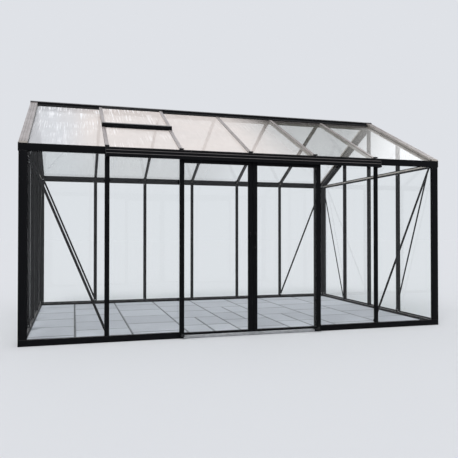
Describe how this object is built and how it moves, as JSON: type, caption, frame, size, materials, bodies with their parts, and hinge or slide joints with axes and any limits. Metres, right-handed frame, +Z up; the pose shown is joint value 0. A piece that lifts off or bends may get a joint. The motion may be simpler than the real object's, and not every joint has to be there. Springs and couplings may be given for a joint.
{
  "type": "glass greenhouse",
  "caption": "Gable-roofed glass greenhouse with a black aluminium frame, paved floor, closed roof vent and sliding doors that part in the middle of a long side.",
  "frame": {"origin": "middle of the house between its outer frame faces, at ground level on the underside of the floor", "axes": "+X along the ridge to the right seen from the doors, +Y from the doors to the back, +Z up"},
  "size_m": [4.606, 3.086, 2.6731],
  "materials": {
    "black_aluminium": "satin black powder coat on extruded aluminium",
    "door_aluminium": "satin black powder coat on extruded aluminium",
    "wall_glass": "clear toughened float glass with faint rain marks",
    "roof_glass": "clear toughened float glass with dried run-off streaks",
    "concrete_slabs": "pale grey concrete slabs with narrow joints",
    "bare_aluminium": "mill finish, scuffed by feet",
    "black_plastic": "moulded, fine grain",
    "handle_black": "semi-gloss black",
    "roller_steel": "zinc plated"
  },
  "bodies": {
    "house": {"paved_floor": "concrete_slabs", "front_base_sills": "black_aluminium", "back_base_sill": "black_aluminium", "left_base_sill": "black_aluminium", "right_base_sill": "black_aluminium", "door_threshold": "bare_aluminium", "corner_posts": "black_aluminium", "door_posts": "black_aluminium", "front_wall_bars": "black_aluminium", "back_wall_bars": "black_aluminium", "left_gable_bars": "black_aluminium", "right_gable_bars": "black_aluminium", "front_eave_beam": "black_aluminium", "back_eave_beam": "black_aluminium", "gable_ties": "black_aluminium", "ridge_beam": "black_aluminium", "left_verges": "black_aluminium", "right_verges": "black_aluminium", "front_roof_bars": "black_aluminium", "back_roof_bars": "black_aluminium", "wall_braces": "black_aluminium", "gable_braces": "black_aluminium", "front_left_glass": "wall_glass", "front_right_glass": "wall_glass", "back_glass": "wall_glass", "left_gable_glass": "wall_glass", "right_gable_glass": "wall_glass", "front_roof_glass": "roof_glass", "back_roof_glass": "roof_glass", "roof_vent_side_bars": "black_aluminium", "roof_vent_rails": "black_aluminium", "roof_vent_glass": "roof_glass", "roof_vent_transom": "black_aluminium", "door_track": "black_aluminium", "door_track_end_caps": "black_plastic", "door_bottom_guides": "black_plastic"},
    "left_door": {"left_door_stiles": "door_aluminium", "left_door_rails": "door_aluminium", "left_door_glass": "wall_glass", "left_door_handle": "handle_black", "left_door_rollers": "roller_steel"},
    "right_door": {"right_door_stiles": "door_aluminium", "right_door_rails": "door_aluminium", "right_door_glass": "wall_glass", "right_door_handle": "handle_black", "right_door_rollers": "roller_steel"}
  },
  "joints": [
    {"name": "left_door_slide", "type": "slide", "parent": "house", "child": "left_door", "axis": [-1, 0, 0], "range_m": [0, 0.72]},
    {"name": "right_door_slide", "type": "slide", "parent": "house", "child": "right_door", "axis": [1, 0, 0], "range_m": [0, 0.72]}
  ]
}
